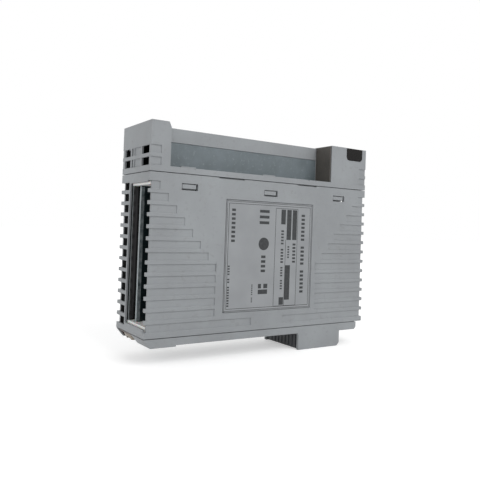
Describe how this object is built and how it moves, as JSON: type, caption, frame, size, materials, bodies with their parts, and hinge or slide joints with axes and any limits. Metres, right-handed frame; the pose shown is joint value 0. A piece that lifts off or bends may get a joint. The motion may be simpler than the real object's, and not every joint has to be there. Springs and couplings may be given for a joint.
{
  "type": "plc input module",
  "caption": "Slim light-grey plug-in controller input module, ribbed ventilated case with a stepped front notch, smoked lamp window, rear connector hood and captive fixing screws.",
  "frame": {"origin": "middle of the bounding box in x and y, at the mouth of the rear connector hood, the lowest point as the module stands", "axes": "+X along the long side from the lower (air inlet) end to the upper (lamp window) end, +Y from the label side to the far side, +Z from the rear (backplane) side to the front (wiring) side"},
  "size_m": [0.13, 0.0328, 0.1075],
  "materials": {
    "case_plastic": "fine-textured moulded ABS, light neutral grey",
    "barrier_plastic": "smooth moulded PBT, blue-grey",
    "connector_plastic": "smooth moulded PBT, dark warm grey",
    "nameplate_film": "printed polyester film, satin",
    "smoked_lens": "polished smoked polycarbonate",
    "clear_acrylic": "polished clear acrylic",
    "lamp_epoxy": "diffused LED epoxy",
    "circuit_board": "glass-epoxy board under dark green-blue solder mask",
    "white_nylon": "natural white nylon",
    "chip_epoxy": "black moulding epoxy",
    "taped_coil": "polyester tape over a wound coil",
    "bright_metal": "bright plated metal",
    "blackened_steel": "blackened steel screw",
    "chromated_zinc": "yellow-brown chromated bush",
    "contact_gold": "gold-flashed contact"
  },
  "bodies": {
    "module_body": {"backplane_connector_housing": "connector_plastic", "backplane_contacts_1": "contact_gold", "backplane_contacts_2": "contact_gold", "board_link_connector": "connector_plastic", "bus_controller_chip": "chip_epoxy", "crystal_can": "bright_metal", "field_connector_contacts": "contact_gold", "field_connector_housing": "connector_plastic", "filter_capacitor_1": "bright_metal", "filter_capacitor_2": "bright_metal", "front_housing": "case_plastic", "io_board": "circuit_board", "io_board_screw_1": "blackened_steel", "io_board_screw_2": "blackened_steel", "io_board_screw_3": "blackened_steel", "io_board_screw_4": "blackened_steel", "isolation_transformer": "taped_coil", "led_light_guide": "clear_acrylic", "led_window": "smoked_lens", "logic_board": "circuit_board", "logic_board_screw_1": "blackened_steel", "logic_board_screw_2": "blackened_steel", "logic_board_screw_3": "blackened_steel", "logic_board_screw_4": "blackened_steel", "lower_front_board_guide": "white_nylon", "lower_rear_board_guide": "white_nylon", "lower_screw_bush": "chromated_zinc", "memory_chip": "chip_epoxy", "nameplate": "nameplate_film", "notch_barrier": "barrier_plastic", "notch_end_plate": "connector_plastic", "photocoupler_1": "chip_epoxy", "photocoupler_2": "chip_epoxy", "photocoupler_3": "chip_epoxy", "photocoupler_4": "chip_epoxy", "photocoupler_5": "chip_epoxy", "photocoupler_6": "chip_epoxy", "photocoupler_7": "chip_epoxy", "photocoupler_8": "chip_epoxy", "processor_chip": "chip_epoxy", "rear_base": "case_plastic", "rear_case": "case_plastic", "standoff_1": "bright_metal", "standoff_2": "bright_metal", "standoff_3": "bright_metal", "standoff_4": "bright_metal", "status_led_1": "lamp_epoxy", "status_led_2": "lamp_epoxy", "status_led_3": "lamp_epoxy", "status_led_4": "lamp_epoxy", "upper_front_board_guide": "white_nylon", "upper_rear_board_guide": "white_nylon", "upper_screw_bush": "chromated_zinc"},
    "lower_screw_ring": {"lower_retaining_ring": "bright_metal"},
    "lower_screw": {"lower_fixing_screw": "blackened_steel"},
    "upper_screw_ring": {"upper_retaining_ring": "bright_metal"},
    "upper_screw": {"upper_fixing_screw": "blackened_steel"}
  },
  "joints": [
    {"name": "lower_screw_travel", "type": "slide", "parent": "module_body", "child": "lower_screw_ring", "axis": [0, 0, 1], "range_m": [-0.006, 0]},
    {"name": "lower_screw_turn", "type": "hinge", "parent": "lower_screw_ring", "child": "lower_screw", "pos_m": [-0.06, 0.0084, 0.098], "axis": [0, 0, 1], "continuous": true},
    {"name": "upper_screw_travel", "type": "slide", "parent": "module_body", "child": "upper_screw_ring", "axis": [0, 0, 1], "range_m": [-0.006, 0]},
    {"name": "upper_screw_turn", "type": "hinge", "parent": "upper_screw_ring", "child": "upper_screw", "pos_m": [0.054, 0.0084, 0.098], "axis": [0, 0, 1], "continuous": true}
  ]
}
